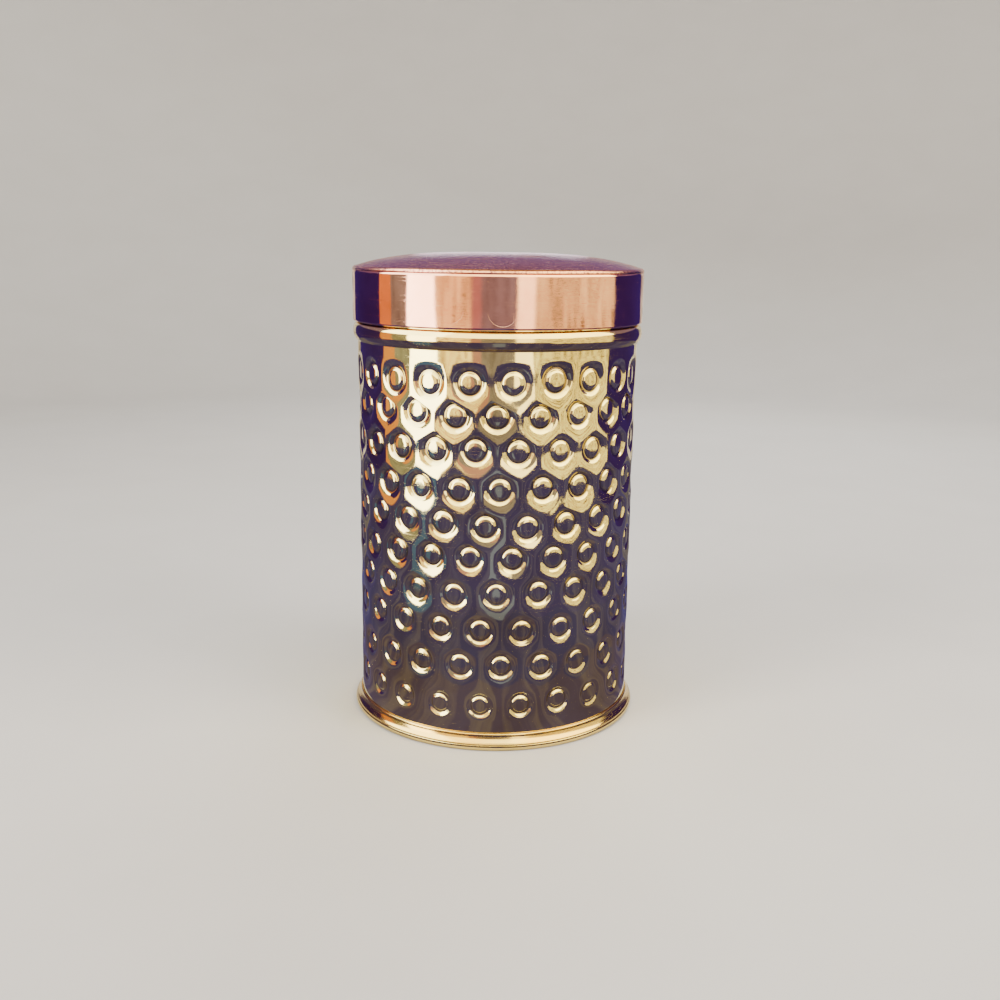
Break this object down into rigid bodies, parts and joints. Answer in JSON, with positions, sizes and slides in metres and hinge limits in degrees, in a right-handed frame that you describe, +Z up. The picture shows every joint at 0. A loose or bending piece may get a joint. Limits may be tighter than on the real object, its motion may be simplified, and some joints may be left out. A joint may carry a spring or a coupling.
{
  "type": "canister with slip-on lid",
  "caption": "Round brass storage canister with rows of punched ring bosses, a flared foot and a copper slip-on lid, for keeping tea, spices or other dry goods.",
  "frame": {"origin": "centre of the foot's underside, where the canister stands", "axes": "+Z up along the canister's axis, towards the lid; the front faces -Y"},
  "size_m": [0.1054, 0.1054, 0.1662],
  "materials": {
    "punched_brass": "punched and polished",
    "polished_brass": "polished",
    "plain_brass": "satin, as rolled",
    "polished_copper": "polished copper, fine scratches"
  },
  "bodies": {
    "canister": {"body_wall": "punched_brass", "stop_bead": "polished_brass", "mouth_wire": "plain_brass", "base_plate": "plain_brass", "foot_ring": "polished_brass", "foot_wire": "polished_brass"},
    "lid": {"lid_crown": "polished_copper", "lid_skirt": "polished_copper"}
  },
  "joints": [
    {"name": "lid_lift", "type": "slide", "parent": "canister", "child": "lid", "axis": [0, 0, 1], "range_m": [0, 0.08]}
  ]
}
